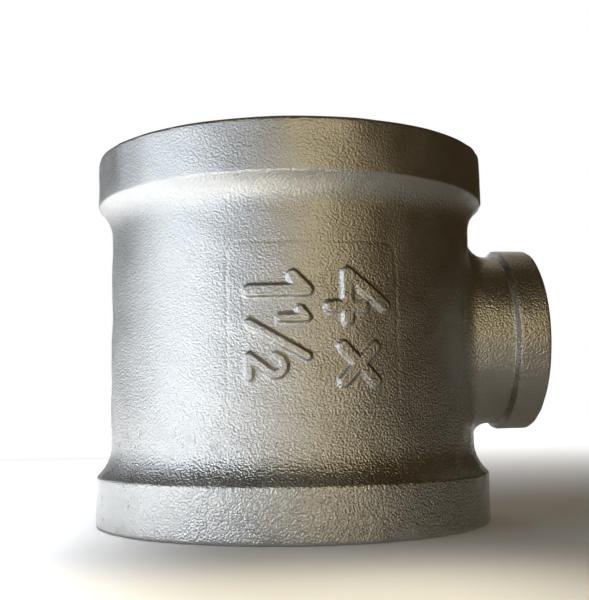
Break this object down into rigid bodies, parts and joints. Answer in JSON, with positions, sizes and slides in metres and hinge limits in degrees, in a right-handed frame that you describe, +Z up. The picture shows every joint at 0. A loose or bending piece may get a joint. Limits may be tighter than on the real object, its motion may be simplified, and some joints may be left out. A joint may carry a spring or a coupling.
{
  "type": "malleable iron reducing tee",
  "caption": "Banded cast iron reducing tee: a wide round run threaded inside at both ends, with a narrower threaded branch leaving the middle of the run at a right angle.",
  "frame": {"origin": "centre of the lower end face of the run, on the run's axis; the part stands on that face", "axes": "+Z up along the run's axis, towards its upper end; +X along the branch's axis, out of its mouth"},
  "size_m": [0.1537, 0.1372, 0.1264],
  "materials": {
    "galvanised_iron": "sand-cast malleable iron, hot-dip galvanised, dull silver grey with a fine leathery grain"
  },
  "bodies": {
    "root": {"tee_body": "galvanised_iron"}
  },
  "joints": []
}
